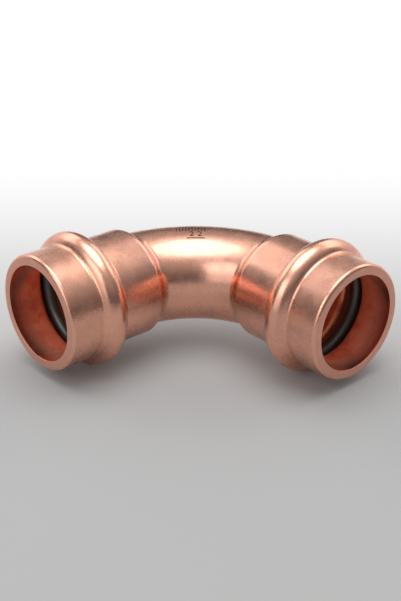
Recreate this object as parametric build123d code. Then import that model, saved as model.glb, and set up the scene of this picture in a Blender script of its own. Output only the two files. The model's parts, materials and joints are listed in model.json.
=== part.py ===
from build123d import *
import math
import os

# Ninety degree elbow of formed copper tube with two press sockets, each with
# a rubber ring seated in a bead behind the mouth. Millimetres, +Z up.
# Port A looks along +X and port B along +Y, and the bend lies flat.

# Tube that the sockets take
TUBE_D = 22.0
BORE_CLEARANCE = 0.10

# Formed tube
WALL = 1.5
BEND_OD = 22.0
BEND_RADIUS = 26.4

# Shoulder between bend and socket, which stops the tube's end. The socket is
# formed true to its port over the last degrees of the bend, by STOP_INSET.
# A rounding is the share that it takes up of the step's height, measured in the
# crook of the bend, where the bend's turn leaves the least of it.
STOP_INSET = 1.9
SHOULDER_ANGLE = 50.0
SHOULDER_ROUNDING = 0.53
STOP_ROOT_ROUNDING = 0.21
STOP_LIP_ROUNDING = 0.70

# Socket, from the stop to the mouth
SOCKET_DEPTH = 25.0

# Guide collar between bead and mouth
COLLAR_WALL = 2.35
COLLAR_EDGE_R = 0.8
MOUTH_EDGE_R = 0.1

# Bead that holds the ring, placed from the mouth
BEAD_FROM_MOUTH = 11.45
BEAD_RISE = 3.1
BEAD_CROWN_R = 3.05
BEAD_FOOT_R = 1.1
COLLAR_FOOT_R = 0.8

# Sealing ring, and the groove inside the bead with room for it at both sides
RING_SECTION = 3.2
RING_SEAT_CLEARANCE = 0.05
RING_SIDE_ROOM = 0.85
GROOVE_INNER_EDGE_R = 2.2
GROOVE_MOUTH_EDGE_R = 1.4

# Derived sizes
BORE_R = TUBE_D / 2 + BORE_CLEARANCE
SOCKET_R = BORE_R + WALL
COLLAR_R = BORE_R + COLLAR_WALL
BEND_R = BEND_OD / 2
BEND_BORE_R = BEND_R - WALL
BEAD_R = SOCKET_R + BEAD_RISE
GROOVE_R = BEAD_R - WALL
GROOVE_CROWN_R = RING_SECTION / 2 + RING_SEAT_CLEARANCE + RING_SIDE_ROOM
RING_R = GROOVE_R - RING_SEAT_CLEARANCE - RING_SECTION / 2
STOP = BEND_RADIUS - STOP_INSET
SHOULDER_AT = STOP - WALL * math.tan(math.radians(SHOULDER_ANGLE / 2))
MOUTH = STOP + SOCKET_DEPTH
BEAD_AT = MOUTH - BEAD_FROM_MOUTH


def rounding(share, corner_x, corner_r, bend_radius):
    """Radius of the arc that takes up a share of the step from a corner down to the bend."""
    crook = BEND_RADIUS - math.sqrt((BEND_RADIUS - bend_radius) ** 2 - (BEND_RADIUS - corner_x) ** 2)
    step = corner_r - crook
    return share * step / (1 - math.cos(math.radians(SHOULDER_ANGLE)))


def shoulder_rounding():
    """Radius of the shoulder's crest and foot, outside."""
    return rounding(SHOULDER_ROUNDING, SHOULDER_AT, SOCKET_R, BEND_R)


def stop_rounding(share):
    """Radius of the stop's root or lip, inside."""
    return rounding(share, STOP, BORE_R, BEND_BORE_R)


def foot_span(crown_radius, crown_height, foot_radius, foot_height):
    """Axial distance from the crown's centre to the foot arc's centre."""
    rise = crown_height - foot_height
    return math.sqrt((crown_radius + foot_radius) ** 2 - rise ** 2)


def touch_point(crown, crown_radius, foot, foot_radius):
    """Point where the crown arc and the foot arc meet, tangent to each other."""
    share = crown_radius / (crown_radius + foot_radius)
    return (crown[0] + (foot[0] - crown[0]) * share, crown[1] + (foot[1] - crown[1]) * share)


def polar(centre, radius, degrees):
    """Point on a circle at an angle from the axis direction."""
    turn = math.radians(degrees)
    return (centre[0] + radius * math.cos(turn), centre[1] + radius * math.sin(turn))


def half_way(centre, radius, start, end):
    """Point on a circle half-way between two of its points."""
    dx = start[0] + end[0] - 2 * centre[0]
    dy = start[1] + end[1] - 2 * centre[1]
    length = math.hypot(dx, dy)
    return (centre[0] + radius * dx / length, centre[1] + radius * dy / length)


def bead_outline(crown_radius, top, base_in, foot_in, base_out, foot_out):
    """First point, last point and three arcs of a bead that rises from two cylinders.

    base_in is the cylinder's radius and foot_in the foot's arc on the bend's side,
    base_out and foot_out are those on the mouth's side.
    """
    crown = (BEAD_AT, top - crown_radius)
    span_in = foot_span(crown_radius, crown[1], foot_in, base_in + foot_in)
    span_out = foot_span(crown_radius, crown[1], foot_out, base_out + foot_out)
    near = (BEAD_AT - span_in, base_in + foot_in)
    far = (BEAD_AT + span_out, base_out + foot_out)
    start = (near[0], base_in)
    end = (far[0], base_out)
    rise_in = touch_point(crown, crown_radius, near, foot_in)
    rise_out = touch_point(crown, crown_radius, far, foot_out)
    arcs = [
        (start, half_way(near, foot_in, start, rise_in), rise_in),
        (rise_in, (BEAD_AT, top), rise_out),
        (rise_out, half_way(far, foot_out, rise_out, end), end),
    ]
    return start, end, arcs


def revolved_about_x(edges):
    """Solid of revolution about the X axis from a closed profile in the XY plane."""
    face = make_face(Wire([item.edge() for item in edges]))
    return revolve(face, axis=Axis.X, revolution_arc=360)


def flank(corner_x, corner_r, round_r, bend_radius):
    """Slope from a cylinder down into the bend, with its rounded corner.

    The slope ends inside the bend's own tube, where a flat end closes it.
    """
    slope = math.radians(SHOULDER_ANGLE)
    tangent = round_r * math.tan(slope / 2)
    top = (corner_x + tangent, corner_r)
    side = (corner_x - tangent * math.cos(slope), corner_r - tangent * math.sin(slope))
    low_r = bend_radius * 0.92
    low = (corner_x - (corner_r - low_r) / math.tan(slope), low_r)
    middle = half_way((top[0], corner_r - round_r), round_r, top, side)
    edges = [Line((low[0], 0), low), Line(low, side), ThreePointArc(side, middle, top)]
    return edges, top


def socket_outside():
    """Full shape of one socket along +X: shoulder, cylinder, bead, collar and rim."""
    start, end, arcs = bead_outline(
        BEAD_CROWN_R, BEAD_R, SOCKET_R, BEAD_FOOT_R, COLLAR_R, COLLAR_FOOT_R
    )
    rim = (MOUTH - COLLAR_EDGE_R, COLLAR_R - COLLAR_EDGE_R)
    edges, top = flank(SHOULDER_AT, SOCKET_R, shoulder_rounding(), BEND_R)
    edges.append(Line(top, start))
    edges.extend(ThreePointArc(*arc) for arc in arcs)
    edges.append(Line(end, (rim[0], COLLAR_R)))
    edges.append(ThreePointArc((rim[0], COLLAR_R), polar(rim, COLLAR_EDGE_R, 45), (MOUTH, rim[1])))
    edges.append(Line((MOUTH, rim[1]), (MOUTH, 0)))
    edges.append(Line((MOUTH, 0), edges[0] @ 0))
    return revolved_about_x(edges)


def socket_inside():
    """Space inside one socket along +X: stop, bore, ring groove and mouth."""
    start, end, arcs = bead_outline(
        GROOVE_CROWN_R, GROOVE_R, BORE_R, GROOVE_INNER_EDGE_R, BORE_R, GROOVE_MOUTH_EDGE_R
    )
    lip = (MOUTH - MOUTH_EDGE_R, BORE_R + MOUTH_EDGE_R)
    lip_middle = polar(lip, MOUTH_EDGE_R, -45)
    edges, top = flank(STOP, BORE_R, stop_rounding(STOP_ROOT_ROUNDING), BEND_BORE_R)
    edges.append(Line(top, start))
    edges.extend(ThreePointArc(*arc) for arc in arcs)
    edges.append(Line(end, (lip[0], BORE_R)))
    edges.append(ThreePointArc((lip[0], BORE_R), lip_middle, (MOUTH, lip[1])))
    edges.append(Line((MOUTH, lip[1]), (MOUTH, 0)))
    edges.append(Line((MOUTH, 0), edges[0] @ 0))
    return revolved_about_x(edges)


def bend(radius):
    """Solid quarter bend from port A's axis to port B's axis."""
    section = Plane(origin=(BEND_RADIUS, 0, 0), x_dir=(0, 0, 1), z_dir=(1, 0, 0))
    centre = Axis((BEND_RADIUS, BEND_RADIUS, 0), (0, 0, -1))
    return revolve(section * Circle(radius), axis=centre, revolution_arc=90)


def mirrored(shape):
    """The same shape on port B, across the elbow's plane of symmetry."""
    return mirror(shape, about=Plane(origin=(0, 0, 0), z_dir=(1, -1, 0)))


def bend_with_sockets(radius, socket, edge_radius):
    """Bend joined to both sockets, with the crease at each shoulder rounded."""
    middle = bend(radius)
    legs = [socket, mirrored(socket)]
    joined = middle + legs
    creases = new_edges(middle, *legs, combined=joined)
    return fillet(creases, edge_radius)


def elbow_body():
    """One formed tube: bend, two shoulders, two sockets with beads and collars."""
    outside = bend_with_sockets(BEND_R, socket_outside(), shoulder_rounding())
    inside = bend_with_sockets(BEND_BORE_R, socket_inside(), stop_rounding(STOP_LIP_ROUNDING))
    return outside - inside


def seal_ring():
    """Round rubber ring seated in the groove of socket A."""
    section = Plane(origin=(BEAD_AT, RING_R, 0), x_dir=(1, 0, 0), z_dir=(0, 0, 1))
    return revolve(section * Circle(RING_SECTION / 2), axis=Axis.X, revolution_arc=360)


# The row's origin is the middle of the box around the part, at its lowest point
MIDDLE = (MOUTH - BEAD_R) / 2
PLACE = Location((-MIDDLE, -MIDDLE, BEAD_R))

ring = seal_ring()
nodes = {
    "elbow_body": elbow_body(),
    "seal_ring_a": ring,
    "seal_ring_b": mirrored(ring),
}

os.makedirs("parts", exist_ok=True)
for name, shape in nodes.items():
    placed = PLACE * shape
    export_step(placed, os.path.join("parts", name + ".step"))
    box = placed.bounding_box()
    print(name, len(placed.solids()), "solid", round(placed.volume, 1), "mm3", box)
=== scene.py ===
"""Right-angle press elbow of formed copper tube, with a rubber ring in each socket, in a pale studio."""

import json
import math

import bmesh
import bpy
from bpy.props import FloatProperty, FloatVectorProperty, PointerProperty, StringProperty
from bpy.types import Operator, Panel, PropertyGroup
from mathutils import Euler, Matrix, Vector


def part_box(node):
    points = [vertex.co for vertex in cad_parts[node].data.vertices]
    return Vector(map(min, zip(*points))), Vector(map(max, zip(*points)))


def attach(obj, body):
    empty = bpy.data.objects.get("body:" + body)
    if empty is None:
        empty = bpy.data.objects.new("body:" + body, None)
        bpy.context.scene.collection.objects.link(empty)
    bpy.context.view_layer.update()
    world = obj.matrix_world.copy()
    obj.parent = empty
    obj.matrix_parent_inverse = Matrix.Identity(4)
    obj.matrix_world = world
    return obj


bl_info = {
    "name": "Press Elbow",
    "version": (1, 0, 0),
    "blender": (4, 5, 0),
    "location": "View3D > Sidebar > Elbow",
    "description": "Copper and rubber finishes for a press elbow, its size mark, and a plain studio",
    "category": "Object",
}

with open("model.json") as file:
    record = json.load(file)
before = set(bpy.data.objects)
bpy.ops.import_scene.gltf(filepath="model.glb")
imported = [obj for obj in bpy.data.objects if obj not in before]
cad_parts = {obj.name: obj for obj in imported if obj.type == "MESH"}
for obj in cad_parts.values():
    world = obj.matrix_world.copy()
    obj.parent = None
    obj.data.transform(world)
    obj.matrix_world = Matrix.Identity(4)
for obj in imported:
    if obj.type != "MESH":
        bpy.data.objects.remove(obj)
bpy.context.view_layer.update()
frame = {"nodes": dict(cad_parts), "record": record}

# The elbow, in metres. Port A's leg lies along X at this Y, and port B's along Y at the same X.
# The elbow rests on its beads, so its axis is as high as their crests stand out from it.
PORT_A = next(
    Vector(mount["pos_m"]) for mount in frame["record"]["mounts"] if mount["name"] == "socket_a"
)
LEG_Y = PORT_A.y
LEG_Z = PORT_A.z
BEAD_CREST = LEG_Z
MOUTH_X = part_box("elbow_body")[1].x
BEND_OUTSIDE = 0.011
# Bead in the middle of the wall: place from the mouth, half of its width, and rise above the socket
BEAD_FROM_MOUTH = 0.01145
BEAD_HALF_WIDTH = 0.00285
BEAD_RISE = 0.0031
# Shoulder in the middle of the wall: place before the end of the bend, and half of its width
SHOULDER_INSET = 0.0025
SHOULDER_HALF_WIDTH = 0.001

# Depths from the mouth at which a zone starts to fade in and at which it is full
ROLLED_FADE = (0.0185, 0.0155)
FACE_FADE = (0.0001, 0.00004)
RIM_FADE = (0.0009, 0.0003)
# The same for the bead's rubbed crest, below its top
CREST_FADE = (0.0007, 0.0001)

# Noise of the copper: repeats in a metre, octaves, and how much each octave keeps of the last
PATCHES = (95.0, 4.0, 0.55)
CLOUDS = (420.0, 3.0, 0.5)
MOTTLES = (240.0, 4.0, 0.65)
PEEL = (2500.0, 1.0, 0.5)
DRAWN_LINES = (2400.0, 3.0, 0.5)
ROLLED_RINGS = (5200.0, 2.0, 0.5)
TURNED_RINGS = (4200.0, 2.0, 0.5)
# How fast the drawn lines change along the tube, as a share of how fast they change across it
DRAWN_STRETCH = 0.02
# Height of each kind of relief, in metres
LINE_HEIGHT = 0.2e-6
RING_HEIGHT = 0.1e-6
CLOUD_HEIGHT = 0.6e-6
PEEL_HEIGHT = 4e-6
TURNED_HEIGHT = 14e-6
# Values of the noise between which a colour or a finish changes
BROWN_SPAN = (0.52, 0.85)
FACE_BROWN_SPAN = (0.18, 0.45)
MOTTLE_SPAN = (0.42, 0.62)
RUB_SPAN = (0.35, 0.6)
OXIDE_SPAN = (0.35, 0.65)
DRIFT_SPAN = (0.3, 0.7)
# Share of the clouds that is added to the browned patches
CLOUDS_IN_BROWN = 0.35
# Rubbing that is left, and share of the oxide that shows, where their noise is low and where it is high
RUB_LEFT = (0.3, 1.0)
OXIDE_SHARES = (0.8, 1.15)
# Change of roughness from low to high clouds, on the rubbed edges and on the rolled part
COPPER_DRIFT = (-0.03, 0.05)
RUBBED_ROUGHNESS = -0.04
ROLLED_ROUGHNESS = 0.02

# Rubber: its noise, the span of the bloom, lift and gain of the colour where the bloom is thick,
# change of roughness from low to high bloom, and strength of the grain
BLOOM = (600.0, 4.0, 0.6)
MOULD_GRAIN = (5200.0, 2.0, 0.5)
BLOOM_SPAN = (0.45, 0.8)
BLOOM_LIFT = 0.035
BLOOM_GAIN = 0.6
RUBBER_DRIFT = (-0.05, 0.08)
MOULD_GRAIN_STRENGTH = 0.25

# Ink: the same where it is worn, with the roughness of fresh and of worn ink
WEAR = (2600.0, 3.0, 0.6)
INK_GRAIN = (9000.0, 2.0, 0.5)
WEAR_SPAN = (0.45, 0.8)
WORN_LIFT = 0.015
WORN_GAIN = 2.0
INK_ROUGHNESS = (0.65, 0.8)
INK_SPECULAR = 0.15
INK_GRAIN_STRENGTH = 0.2
# Height of the grain in rubber and in ink
GRAIN_HEIGHT = 0.00001

# Middle of the mark round the bend from port A's leg, in degrees
MARK_TURN = 48.5
# Angle round the tube from outward, in degrees, of the foot of the figures, the bar's middle and
# the foot of the ticks
FIGURE_FOOT = 105.5
BAR_MIDDLE = 109.0
TICK_FOOT = 94.0
# Spacing of the figures, height of a figure as a share of the font's size, and steps in a curve
FIGURE_SPACING = 1.35
FIGURE_SHARE = 0.69
FIGURE_STEPS = 4
BAR_WIDTH = 0.0044
BAR_HEIGHT = 0.00033
# Length of the pieces that a bar or a tick is divided into, to follow the tube
BAR_STEP = 0.0004
TICKS = 10
TICK_GAP = 0.00074
TICK_WIDTH = 0.00031
TICK_HEIGHTS = (0.0018, 0.0026)
TICK_SHIFT = 0.0012
# Thickness of the ink as a multiple of its film, so that its foot is sunk in the copper
INK_THICKNESS = 4
# Distance within which points are merged
SAME_POINT = 1e-7

# Camera: its place, and in degrees its turn round the elbow from port A, its tilt above it, and its roll
CAMERA_PLACE = (0.155693, 0.176137, 0.131199)
CAMERA_TURN = 48.4442
CAMERA_TILT = 26.3755
CAMERA_ROLL = 0.1218
# Width of the sensor in millimetres, and the nearest and farthest that the camera sees
SENSOR_WIDTH = 36.0
CLIP_START = 0.01
CLIP_END = 20.0

# Turn from the camera and width in degrees, and share of the brightness, of each wall lamp
WALL_LAMPS = ((-42.0, 52.0, 1.24), (134.0, 62.0, 1.04), (-137.0, 60.0, 1.08))
# Lowest and highest elevation in degrees, and share of the brightness, of a wall lamp's two halves
LAMP_BANDS = ((25.0, 50.0, 1.0), (3.0, 25.0, 0.5))
# Distance of the wall lamps from the elbow's middle, and height of the overhead lamp above it
LAMP_REACH = 0.62
OVERHEAD_HEIGHT = 0.72
# Width of the overhead lamp in degrees
OVERHEAD_ANGLE = 50.0
# Tone of the walls, from level to straight up, by the sine of the elevation
WALL_TONES = ((0.0, 0.12), (0.2, 0.13), (0.31, 0.17), (0.45, 0.27), (0.6, 0.4), (0.78, 0.5), (0.88, 0.9))

# Distances behind the elbow's middle at which the sweep starts to brighten and at which it is white
SWEEP = (-0.02232, 0.13394)
# The same on every side of it, so that the floor's edge never shows
FAR_SWEEP = (0.7, 1.6)
FLOOR_RADIUS = 6.0
FLOOR_SIDES = 96


class CopperSettings(PropertyGroup):
    """Bare formed copper."""

    colour: FloatVectorProperty(
        name="Colour", description="Clean copper", subtype="COLOR",
        default=(0.89, 0.455, 0.322), min=0, max=1,
    )
    brown: FloatVectorProperty(
        name="Browned", description="Copper where the air has dulled it", subtype="COLOR",
        default=(0.77, 0.395, 0.30), min=0, max=1,
    )
    gloss: FloatProperty(
        name="Roughness", description="Roughness of the drawn surface", default=0.25, min=0, max=1,
    )
    # Painted reflection: this red inside the tube stands in for light bounced back and forth between the
    # copper walls, and red oxide makes that surface partly matt.
    inside: FloatVectorProperty(
        name="Inside", description="Reddened copper inside the tube", subtype="COLOR",
        default=(1.0, 0.31, 0.168), min=0, max=1,
    )
    # Deeper painted bounce red, mottled at random.
    deeper_bounce_red: FloatVectorProperty(
        name="Inside, deeper red", description="Reddened copper where the oxide is thicker",
        subtype="COLOR", default=(0.84, 0.205, 0.10), min=0, max=1,
    )
    bore_gloss: FloatProperty(
        name="Bore roughness", description="Roughness of the surface inside",
        default=0.2, min=0, max=1,
    )
    oxide: FloatProperty(
        name="Red oxide", description="Share of the surface inside that red oxide makes matt",
        default=0.66, min=0, max=1, subtype="FACTOR",
    )
    # Depth from the mouth over which the painted bounce red and the matt oxide build up, none at the
    # mouth itself.
    bounce_red_depth: FloatProperty(
        name="Clean rim", description="Depth from the mouth over which the oxide thins out",
        default=0.0062, subtype="DISTANCE", unit="LENGTH",
    )
    face_gloss: FloatProperty(
        name="Cut face roughness", description="Roughness of the cut end of the tube",
        default=0.38, min=0, max=1,
    )
    bend_radius: FloatProperty(
        name="Bend radius", description="Radius of the bend's centreline",
        default=0.0264, subtype="DISTANCE", unit="LENGTH",
    )
    bend_wall: FloatProperty(
        name="Bend wall", description="Distance from the bend's centreline to its wall's middle",
        default=0.01025, subtype="DISTANCE", unit="LENGTH",
    )
    socket_wall: FloatProperty(
        name="Socket wall", description="Distance from a socket's axis to its wall's middle",
        default=0.01185, subtype="DISTANCE", unit="LENGTH",
    )


class RubberSettings(PropertyGroup):
    """Moulded black rubber."""

    colour: FloatVectorProperty(
        name="Colour", description="Black rubber", subtype="COLOR",
        default=(0.045, 0.050, 0.044), min=0, max=1,
    )
    gloss: FloatProperty(
        name="Roughness", description="Roughness of the moulded surface",
        default=0.36, min=0, max=1,
    )
    film_gloss: FloatProperty(
        name="Film roughness", description="Roughness of the film of lubricant",
        default=0.34, min=0, max=1,
    )


class MarkSettings(PropertyGroup):
    """Size mark on the crown of the bend."""

    number: StringProperty(name="Number", description="Tube size in millimetres", default="22")
    ink: FloatVectorProperty(
        name="Ink", description="Dark ink of the mark", subtype="COLOR",
        default=(0.050, 0.019, 0.014), min=0, max=1,
    )
    figure_height: FloatProperty(
        name="Figure height", description="Height of the figures",
        default=0.0019, subtype="DISTANCE", unit="LENGTH",
    )
    film: FloatProperty(
        name="Film", description="Height of the ink above the copper",
        default=0.000015, subtype="DISTANCE", unit="LENGTH",
    )


class StageSettings(PropertyGroup):
    """Floor, walls, lamps and camera."""

    floor: FloatVectorProperty(
        name="Floor", description="Colour of the floor", subtype="COLOR",
        default=(0.41, 0.41, 0.41), min=0, max=1,
    )
    backdrop: FloatProperty(
        name="Backdrop", description="Brightness of the sweep behind the elbow",
        default=1.0, min=0,
    )
    overhead: FloatProperty(
        name="Overhead lamp", description="Brightness of the round lamp overhead",
        default=2.3, min=0,
    )
    panels: FloatProperty(
        name="Wall lamps", description="Brightness of the lamps on the walls",
        default=1.35, min=0,
    )
    lens: FloatProperty(
        name="Lens", description="Focal length of the camera",
        default=68.93, subtype="DISTANCE_CAMERA",
    )


class Nodes:
    """Short calls that add nodes to one tree and join them."""

    def __init__(self, tree):
        self.tree = tree
        tree.nodes.clear()

    def fill(self, socket, value):
        """Joins a socket to another one, or sets its own value."""
        if isinstance(value, bpy.types.NodeSocket):
            self.tree.links.new(value, socket)
        else:
            socket.default_value = value

    def add(self, kind, inputs=None, **settings):
        """New node with its settings, and with its inputs filled by name or by number."""
        node = self.tree.nodes.new("ShaderNode" + kind)
        for name, value in settings.items():
            setattr(node, name, value)
        for key, value in (inputs or {}).items():
            self.fill(node.inputs[key], value)
        return node

    def math(self, operation, a, b=0.0, clamp=False):
        return self.add("Math", {0: a, 1: b}, operation=operation, use_clamp=clamp).outputs[0]

    def times(self, a, b):
        return self.math("MULTIPLY", a, b)

    def minus(self, a, b, clamp=False):
        return self.math("SUBTRACT", a, b, clamp)

    def total(self, first, *others):
        for other in others:
            first = self.math("ADD", first, other)
        return first

    def place(self):
        """Place on the piece, in metres."""
        return self.add("TexCoord").outputs["Object"]

    def vector(self, x=0.0, y=0.0, z=0.0):
        return self.add("CombineXYZ", {0: x, 1: y, 2: z}).outputs[0]

    def length(self, vector):
        return self.add("VectorMath", {0: vector}, operation="LENGTH").outputs["Value"]

    def noise(self, where, pattern):
        """Noise of a pattern, which is its scale, detail and roughness."""
        scale, detail, roughness = pattern
        inputs = {"Vector": where, "Scale": scale, "Detail": detail, "Roughness": roughness}
        return self.add("TexNoise", inputs).outputs[0]

    def ramp(self, value, span, to=(0.0, 1.0)):
        """Smooth change while the value crosses the span."""
        inputs = {
            "Value": value, "From Min": span[0], "From Max": span[1], "To Min": to[0], "To Max": to[1],
        }
        return self.add("MapRange", inputs, interpolation_type="SMOOTHSTEP").outputs[0]

    def blend(self, share, a, b):
        """Colour a where the share is 0, and colour b where it is 1."""
        node = self.add("Mix", data_type="RGBA")
        sockets = {socket.identifier: socket for socket in node.inputs}
        for name, value in (("Factor_Float", share), ("A_Color", a), ("B_Color", b)):
            self.fill(sockets[name], value)
        return next(socket for socket in node.outputs if socket.identifier == "Result_Color")

    def bump(self, height, strength=1.0, distance=1.0):
        inputs = {"Height": height, "Strength": strength, "Distance": distance}
        return self.add("Bump", inputs).outputs[0]

    def surface(self, shader):
        self.add("OutputMaterial", {"Surface": shader.outputs[0]})


class CopperNodes(Nodes):
    """Nodes of the copper, with the places on the tube, the zones and the noise that its looks share."""

    def __init__(self, tree, settings):
        super().__init__(tree)
        self.settings = settings
        self.find_place()
        self.patches = self.noise(self.where, PATCHES)
        self.clouds = self.noise(self.where, CLOUDS)
        self.find_zones()

    def find_place(self):
        """Finds where a point lies on the tube.

        along is its distance on the centreline from the middle of the bend, and reach is the same
        without a sign. Across the tube, side is towards the crook of the bend, height is up, and
        out is the distance from the centreline.
        """
        bend_radius = self.settings.bend_radius
        self.where = self.place()
        corner = (LEG_Y + bend_radius, LEG_Y + bend_radius, LEG_Z)
        local = self.add("VectorMath", {0: self.where, 1: corner}, operation="SUBTRACT").outputs[0]
        x, y, self.height = self.add("SeparateXYZ", {0: local}).outputs
        inward_x = self.math("MAXIMUM", self.times(x, -1.0), 0.0)
        inward_y = self.math("MAXIMUM", self.times(y, -1.0), 0.0)
        self.side = self.minus(bend_radius, self.length(self.vector(inward_x, inward_y)))
        turn = self.math("ARCTAN2", inward_y, inward_x)
        arc = self.times(self.minus(turn, math.pi / 4), bend_radius)
        legs = self.minus(self.math("MAXIMUM", x, 0.0), self.math("MAXIMUM", y, 0.0))
        self.along = self.total(arc, legs)
        self.reach = self.math("ABSOLUTE", self.along)
        self.out = self.length(self.vector(self.side, self.height))

    def find_zones(self):
        """Finds the share of each zone: rolled part, cut face, inside, outside, matt oxide with its
        painted bounce red, rubbed edges.
        """
        bend_end = self.settings.bend_radius * math.pi / 4
        self.mouth = MOUTH_X - (LEG_Y + self.settings.bend_radius) + bend_end
        self.on_rolled = self.from_mouth(ROLLED_FADE)
        self.on_face = self.from_mouth(FACE_FADE)
        within = self.math("LESS_THAN", self.out, self.wall_middle(bend_end - SHOULDER_INSET))
        self.inner = self.minus(within, self.on_face, clamp=True)
        self.outer = self.minus(1.0, self.inner)
        # Painted bounce light: share of the red that stands in for light reflected between the copper
        # walls, none at the mouth and full at the given depth.
        self.red = self.times(self.inner, self.from_mouth((0.0, self.settings.bounce_red_depth)))
        self.rubbed = self.rubbed_edges()

    def from_mouth(self, fade):
        """Share that rises from 0 at the fade's first depth from the mouth to 1 at its second."""
        return self.ramp(self.reach, (self.mouth - fade[0], self.mouth - fade[1]))

    def wall_middle(self, shoulder):
        """Distance from the centreline to the middle of the wall, which parts inside from outside."""
        step = (shoulder - SHOULDER_HALF_WIDTH, shoulder + SHOULDER_HALF_WIDTH)
        wall = self.ramp(self.reach, step, (self.settings.bend_wall, self.settings.socket_wall))
        off = self.math("DIVIDE", self.minus(self.reach, self.mouth - BEAD_FROM_MOUTH), BEAD_HALF_WIDTH)
        bulge = self.math("SQRT", self.minus(1.0, self.times(off, off), clamp=True))
        return self.total(wall, self.times(bulge, BEAD_RISE))

    def rubbed_edges(self):
        """Share of a point that handling keeps bright, on the mouth's rim and the bead's crest."""
        crest = self.ramp(self.out, (BEAD_CREST - CREST_FADE[0], BEAD_CREST - CREST_FADE[1]))
        edges = self.math("MAXIMUM", self.from_mouth(RIM_FADE), crest)
        rubbed = self.times(edges, self.ramp(self.clouds, RUB_SPAN, RUB_LEFT))
        return self.minus(rubbed, self.on_face, clamp=True)

    def colour(self):
        """Clean copper with browned patches outside, and inside a mottled red that paints the light
        bounced between the copper walls.
        """
        dulled = self.total(self.patches, self.times(self.clouds, CLOUDS_IN_BROWN))
        dulled = self.times(self.ramp(dulled, BROWN_SPAN), self.minus(1.0, self.rubbed))
        face = self.times(self.on_face, self.ramp(self.clouds, FACE_BROWN_SPAN))
        tone = self.math("MAXIMUM", dulled, face)
        outside = self.blend(tone, rgba(self.settings.colour), rgba(self.settings.brown))
        # Inside, a painted bounce red for light reflected between the copper walls, mottled at random.
        mottled = self.ramp(self.noise(self.where, MOTTLES), MOTTLE_SPAN)
        inside = self.blend(mottled, rgba(self.settings.inside), rgba(self.settings.deeper_bounce_red))
        return self.blend(self.red, outside, inside)

    def metal(self):
        """Share of bare metal, which is less where matt red oxide lies in thin and thick patches, over
        the zone of painted bounce red.
        """
        shares = tuple(share * self.settings.oxide for share in OXIDE_SHARES)
        return self.minus(1.0, self.times(self.red, self.ramp(self.patches, OXIDE_SPAN, shares)))

    def roughness(self):
        settings = self.settings
        return self.total(
            self.ramp(self.clouds, DRIFT_SPAN, COPPER_DRIFT),
            self.times(self.outer, settings.gloss),
            self.times(self.inner, settings.bore_gloss),
            self.times(self.on_face, settings.face_gloss - settings.gloss),
            self.times(self.rubbed, RUBBED_ROUGHNESS),
            self.times(self.on_rolled, ROLLED_ROUGHNESS),
        )

    def relief(self):
        """Height of drawn lines, rolled rings, soft waves, fine peel and the cut face's turned rings."""
        drawn = self.vector(self.side, self.height, self.times(self.along, DRAWN_STRETCH))
        lines = self.times(self.noise(drawn, DRAWN_LINES), self.minus(self.outer, self.on_face))
        rings = self.times(self.noise(self.vector(self.along), ROLLED_RINGS), self.on_rolled)
        turned = self.times(self.noise(self.vector(self.out), TURNED_RINGS), self.on_face)
        return self.total(
            self.times(lines, LINE_HEIGHT),
            self.times(rings, RING_HEIGHT),
            self.times(self.clouds, CLOUD_HEIGHT),
            self.times(self.noise(self.where, PEEL), PEEL_HEIGHT),
            self.times(turned, TURNED_HEIGHT),
        )


def rgba(colour):
    return (*colour, 1.0)


def lifted(colour, lift, gain):
    """Colour times a gain, with the same lift of its three parts."""
    return tuple(lift + gain * part for part in colour)


def new_material(name):
    """Material with a node tree."""
    material = bpy.data.materials.new(name)
    material.use_nodes = True
    return material


def copper(settings):
    """Drawn copper: fine lines along the tube, rolled rings on the sockets, soft browned patches."""
    material = new_material("drawn_copper")
    nodes = CopperNodes(material.node_tree, settings)
    nodes.surface(nodes.add("BsdfPrincipled", {
        "Base Color": nodes.colour(), "Metallic": nodes.metal(), "Roughness": nodes.roughness(),
        "Normal": nodes.bump(nodes.relief()),
    }))
    return material


def rubber(settings):
    """Moulded black rubber with a faint dusty bloom, under a film of lubricant."""
    material = new_material("moulded_rubber")
    nodes = Nodes(material.node_tree)
    place = nodes.place()
    bloom = nodes.noise(place, BLOOM)
    dusty = lifted(settings.colour, BLOOM_LIFT, BLOOM_GAIN)
    colour = nodes.blend(nodes.ramp(bloom, BLOOM_SPAN), rgba(settings.colour), rgba(dusty))
    roughness = tuple(settings.gloss + drift for drift in RUBBER_DRIFT)
    grain = nodes.noise(place, MOULD_GRAIN)
    nodes.surface(nodes.add("BsdfPrincipled", {
        "Base Color": colour, "Roughness": nodes.ramp(bloom, DRIFT_SPAN, roughness),
        "Normal": nodes.bump(grain, MOULD_GRAIN_STRENGTH, GRAIN_HEIGHT),
        "Coat Weight": 1.0, "Coat Roughness": settings.film_gloss,
    }))
    return material


def ink(settings):
    """Dark ink, thinner in places."""
    material = new_material("ink")
    nodes = Nodes(material.node_tree)
    place = nodes.place()
    worn = nodes.ramp(nodes.noise(place, WEAR), WEAR_SPAN)
    thin = lifted(settings.ink, WORN_LIFT, WORN_GAIN)
    grain = nodes.noise(place, INK_GRAIN)
    nodes.surface(nodes.add("BsdfPrincipled", {
        "Base Color": nodes.blend(worn, rgba(settings.ink), rgba(thin)),
        "Roughness": nodes.ramp(worn, (0.0, 1.0), INK_ROUGHNESS), "Specular IOR Level": INK_SPECULAR,
        "Normal": nodes.bump(grain, INK_GRAIN_STRENGTH, GRAIN_HEIGHT),
    }))
    return material


def dress(node, material):
    """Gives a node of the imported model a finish."""
    piece = frame["nodes"][node]
    piece.material_slots[0].link = "OBJECT"
    piece.material_slots[0].material = material


class ELBOW_OT_dress_body(Operator):
    """Finish the formed tube as bare drawn copper"""

    bl_idname = "elbow.dress_body"
    bl_label = "Copper Body"

    def execute(self, context):
        dress("elbow_body", copper(context.scene.elbow_copper))
        return {"FINISHED"}


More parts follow.
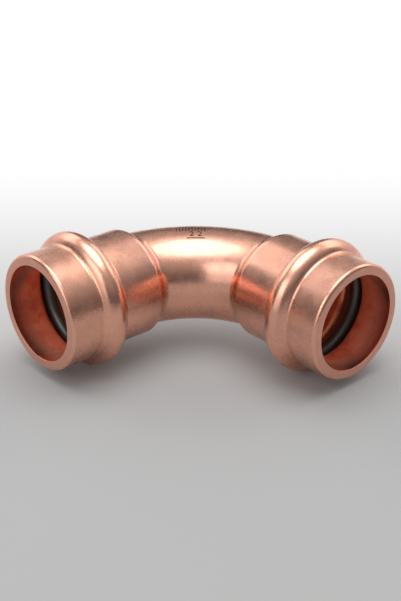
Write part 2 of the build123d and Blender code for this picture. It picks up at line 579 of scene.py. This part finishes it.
class ELBOW_OT_dress_rings(Operator):
    """Finish the two seal rings as moulded black rubber"""

    bl_idname = "elbow.dress_rings"
    bl_label = "Seal Rings"

    def execute(self, context):
        material = rubber(context.scene.elbow_rubber)
        for node in ("seal_ring_a", "seal_ring_b"):
            dress(node, material)
        return {"FINISHED"}


def figures(text, height):
    """Mesh of the figures, flat, centred on the first axis with their foot on it."""
    curve = bpy.data.curves.new("figures", "FONT")
    curve.body = text
    curve.align_x = "CENTER"
    curve.space_character = FIGURE_SPACING
    curve.size = height / FIGURE_SHARE
    curve.resolution_u = FIGURE_STEPS
    carrier = bpy.data.objects.new("figures", curve)
    mesh = bpy.data.meshes.new_from_object(carrier)
    shape = bmesh.new()
    shape.from_mesh(mesh)
    bpy.data.objects.remove(carrier)
    bpy.data.curves.remove(curve)
    bpy.data.meshes.remove(mesh)
    bmesh.ops.triangulate(shape, faces=shape.faces)
    bmesh.ops.subdivide_edges(shape, edges=shape.edges, cuts=1, use_grid_fill=True)
    return shape


def add_bar(shape, centre, width, height):
    """Flat bar about a centre, divided finely enough to lie on the tube."""
    across, up = (max(1, round(size / BAR_STEP)) for size in (width, height))
    verts = bmesh.ops.create_grid(shape, x_segments=across, y_segments=up, size=0.5)["verts"]
    bmesh.ops.scale(shape, vec=(width, height, 1.0), verts=verts)
    bmesh.ops.translate(shape, vec=(*centre, 0.0), verts=verts)
    return verts


def wrap(verts, start, radius, bend_radius):
    """Lays flat points on the bend, with the first axis at an angle round the tube.

    The first axis runs back along the tube, and the second up and outward.
    """
    for vert in verts:
        across = math.radians(start) - vert.co.y / BEND_OUTSIDE
        reach = bend_radius + radius * math.cos(across)
        turn = math.radians(MARK_TURN) - vert.co.x / reach
        x = LEG_Y + bend_radius - reach * math.cos(turn)
        y = LEG_Y + bend_radius - reach * math.sin(turn)
        vert.co = (x, y, LEG_Z + radius * math.sin(across))


def mark_shape(settings, bend_radius):
    """Figures over a bar, with a row of short and long ticks above them, laid on the bend."""
    radius = BEND_OUTSIDE + settings.film
    shape = figures(settings.number, settings.figure_height)
    wrap(shape.verts, FIGURE_FOOT, radius, bend_radius)
    bar = add_bar(shape, (0.0, 0.0), BAR_WIDTH, BAR_HEIGHT)
    wrap(bar, BAR_MIDDLE, radius, bend_radius)
    for index in range(TICKS):
        height = TICK_HEIGHTS[index % 2]
        along = (index - (TICKS - 1) / 2) * TICK_GAP - TICK_SHIFT
        tick = add_bar(shape, (along, height / 2), TICK_WIDTH, height)
        wrap(tick, TICK_FOOT, radius, bend_radius)
    bmesh.ops.remove_doubles(shape, verts=shape.verts, dist=SAME_POINT)
    bmesh.ops.recalc_face_normals(shape, faces=shape.faces)
    bmesh.ops.solidify(shape, geom=shape.faces, thickness=INK_THICKNESS * settings.film)
    return shape


class ELBOW_OT_print_mark(Operator):
    """Print the tube size, a bar and a row of ticks on the crown of the bend"""

    bl_idname = "elbow.print_mark"
    bl_label = "Size Mark"

    def execute(self, context):
        scene = context.scene
        settings = scene.elbow_mark
        shape = mark_shape(settings, scene.elbow_copper.bend_radius)
        mesh = bpy.data.meshes.new("size_mark")
        shape.to_mesh(mesh)
        shape.free()
        mesh.materials.append(ink(settings))
        mark = bpy.data.objects.new("size_mark", mesh)
        scene.collection.objects.link(mark)
        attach(mark, "root")
        return {"FINISHED"}


def make_camera(scene, settings):
    data = bpy.data.cameras.new("camera")
    data.lens = settings.lens
    data.sensor_width = SENSOR_WIDTH
    data.clip_start = CLIP_START
    data.clip_end = CLIP_END
    camera = bpy.data.objects.new("camera", data)
    level = Euler((math.radians(90 - CAMERA_TILT), 0.0, math.radians(90 + CAMERA_TURN))).to_matrix()
    view = level @ Matrix.Rotation(math.radians(CAMERA_ROLL), 3, "Z")
    camera.matrix_world = Matrix.Translation(CAMERA_PLACE) @ view.to_4x4()
    scene.collection.objects.link(camera)
    scene.camera = camera


def make_lamp(scene, name, shape, place, target, size, brightness):
    """Area lamp at a place, facing the target, with the brightness that its face shows."""
    data = bpy.data.lights.new(name, "AREA")
    data.shape = shape
    data.size, data.size_y = size
    area = size[0] * size[1]
    if shape == "DISK":
        area *= math.pi / 4
    data.energy = brightness * math.pi * area
    lamp = bpy.data.objects.new(name, data)
    facing = (place - target).to_track_quat("Z", "Y").to_matrix().to_4x4()
    lamp.matrix_world = Matrix.Translation(place) @ facing
    lamp.visible_camera = False
    scene.collection.objects.link(lamp)


def spanned(degrees, distance):
    """Length that takes up an angle at a distance."""
    return 2 * distance * math.tan(math.radians(degrees / 2))


def make_lamps(scene, settings):
    """Round lamp overhead, and tall lamps on the walls, brighter in their upper halves."""
    target = Vector((0.0, 0.0, LEG_Z))
    above = target + Vector((0.0, 0.0, OVERHEAD_HEIGHT))
    across = spanned(OVERHEAD_ANGLE, OVERHEAD_HEIGHT)
    make_lamp(scene, "overhead", "DISK", above, target, (across, across), settings.overhead)
    for turn, width, strength in WALL_LAMPS:
        bearing = math.radians(CAMERA_TURN + turn)
        level = Vector((math.cos(bearing), math.sin(bearing), 0.0))
        for low, high, share in LAMP_BANDS:
            tilt = math.radians((low + high) / 2)
            way = level * math.cos(tilt) + Vector((0.0, 0.0, math.sin(tilt)))
            size = (spanned(width, LAMP_REACH) * math.cos(tilt), spanned(high - low, LAMP_REACH))
            make_lamp(
                scene, "wall_lamp", "RECTANGLE", target + way * LAMP_REACH, target, size,
                settings.panels * strength * share,
            )


def make_world(scene):
    """Walls that are dark at the floor's edge and paler towards the ceiling."""
    world = bpy.data.worlds.new("walls")
    world.use_nodes = True
    scene.world = world
    nodes = Nodes(world.node_tree)
    way = nodes.add("TexCoord").outputs["Generated"]
    fade = nodes.add("ValToRGB", {"Fac": nodes.add("SeparateXYZ", {0: way}).outputs[2]})
    # A new ramp has a stop at each end
    stops = fade.color_ramp.elements
    stops.remove(stops[-1])
    for height, tone in WALL_TONES:
        stop = stops.new(height) if height > 0 else stops[0]
        stop.color = (tone, tone, tone, 1.0)
    background = nodes.add("Background", {"Color": fade.outputs[0], "Strength": 1.0})
    nodes.add("OutputWorld", {"Surface": background.outputs[0]})


def floor_finish(settings):
    """Grey floor that shows white behind the elbow and far off, but gives no more light for it."""
    material = new_material("floor")
    nodes = Nodes(material.node_tree)
    grey = nodes.add("BsdfDiffuse", {"Color": rgba(settings.floor)})
    place = nodes.place()
    turn = math.radians(CAMERA_TURN)
    away = (-math.cos(turn), -math.sin(turn), 0.0)
    behind = nodes.add("VectorMath", {0: place, 1: away}, operation="DOT_PRODUCT").outputs["Value"]
    far = nodes.ramp(nodes.length(place), FAR_SWEEP)
    sweep = nodes.math("MAXIMUM", nodes.ramp(behind, SWEEP), far)
    path = nodes.add("LightPath").outputs
    seen = nodes.math("MAXIMUM", path["Is Camera Ray"], path["Is Glossy Ray"])
    seen = nodes.math("MAXIMUM", seen, path["Is Transmission Ray"])
    white = nodes.add("Emission", {"Color": (1.0, 1.0, 1.0, 1.0), "Strength": settings.backdrop})
    share = nodes.times(sweep, seen)
    nodes.surface(nodes.add("MixShader", {0: share, 1: grey.outputs[0], 2: white.outputs[0]}))
    return material


def make_floor(scene, settings):
    mesh = bpy.data.meshes.new("floor")
    shape = bmesh.new()
    bmesh.ops.create_circle(shape, cap_ends=True, segments=FLOOR_SIDES, radius=FLOOR_RADIUS)
    shape.to_mesh(mesh)
    shape.free()
    mesh.materials.append(floor_finish(settings))
    floor = bpy.data.objects.new("floor", mesh)
    scene.collection.objects.link(floor)


class ELBOW_OT_build_stage(Operator):
    """Build the floor, the walls, the lamps and the camera"""

    bl_idname = "elbow.build_stage"
    bl_label = "Studio"

    def execute(self, context):
        scene = context.scene
        settings = scene.elbow_stage
        scene.view_settings.view_transform = "Standard"
        make_floor(scene, settings)
        make_world(scene)
        make_lamps(scene, settings)
        make_camera(scene, settings)
        return {"FINISHED"}


class ELBOW_PT_panel(Panel):
    """Steps that dress the elbow"""

    bl_idname = "ELBOW_PT_panel"
    bl_label = "Press Elbow"
    bl_space_type = "VIEW_3D"
    bl_region_type = "UI"
    bl_category = "Elbow"

    def draw(self, context):
        scene = context.scene
        steps = (
            (scene.elbow_copper, "elbow.dress_body"),
            (scene.elbow_rubber, "elbow.dress_rings"),
            (scene.elbow_mark, "elbow.print_mark"),
            (scene.elbow_stage, "elbow.build_stage"),
        )
        for settings, operator in steps:
            box = self.layout.box()
            for name in settings.__annotations__:
                box.prop(settings, name)
            box.operator(operator)


CLASSES = (
    CopperSettings, RubberSettings, MarkSettings, StageSettings,
    ELBOW_OT_dress_body, ELBOW_OT_dress_rings, ELBOW_OT_print_mark, ELBOW_OT_build_stage,
    ELBOW_PT_panel,
)


def register():
    for item in CLASSES:
        bpy.utils.register_class(item)
    bpy.types.Scene.elbow_copper = PointerProperty(type=CopperSettings)
    bpy.types.Scene.elbow_rubber = PointerProperty(type=RubberSettings)
    bpy.types.Scene.elbow_mark = PointerProperty(type=MarkSettings)
    bpy.types.Scene.elbow_stage = PointerProperty(type=StageSettings)


def unregister():
    del bpy.types.Scene.elbow_stage
    del bpy.types.Scene.elbow_mark
    del bpy.types.Scene.elbow_rubber
    del bpy.types.Scene.elbow_copper
    for item in reversed(CLASSES):
        bpy.utils.unregister_class(item)


def main():
    register()
    bpy.ops.elbow.dress_body()
    bpy.ops.elbow.dress_rings()
    bpy.ops.elbow.print_mark()
    bpy.ops.elbow.build_stage()


if __name__ == "__main__":
    main()
